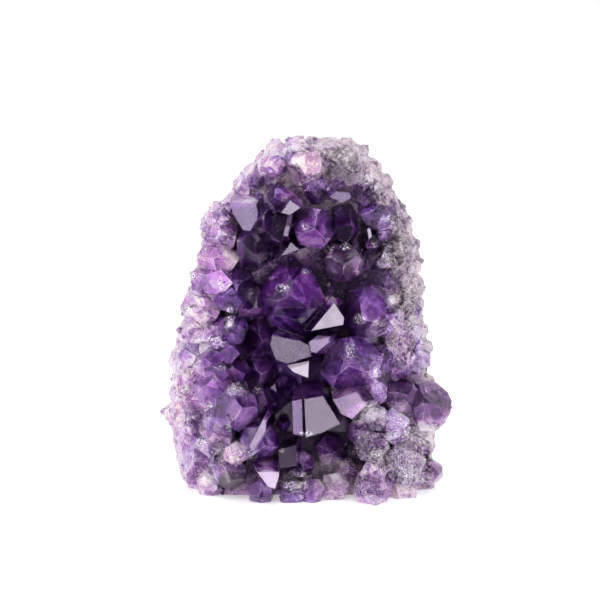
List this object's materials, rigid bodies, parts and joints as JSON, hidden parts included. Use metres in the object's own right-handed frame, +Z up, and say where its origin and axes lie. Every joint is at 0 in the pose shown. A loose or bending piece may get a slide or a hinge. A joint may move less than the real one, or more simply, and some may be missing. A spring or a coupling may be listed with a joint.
{
  "type": "amethyst cluster",
  "caption": "Standing amethyst cluster: purple quartz crystals over a curved piece of geode wall, with grey-green rock behind and a foot sawn flat.",
  "frame": {"origin": "on the surface that the cluster stands on, at the middle of its sawn foot", "axes": "+Z up, +X to the viewer's right, +Y away from the viewer towards the rock rind; the crystals face -Y"},
  "size_m": [0.0955, 0.0647, 0.1158],
  "materials": {
    "amethyst": "clear to milky quartz, deep purple in the middle and pale lilac to grey at the rim",
    "rind_rock": "rough broken rock, grey-green"
  },
  "bodies": {
    "root": {"amethyst_crystals": "amethyst", "rock_rind": "rind_rock"}
  },
  "joints": []
}
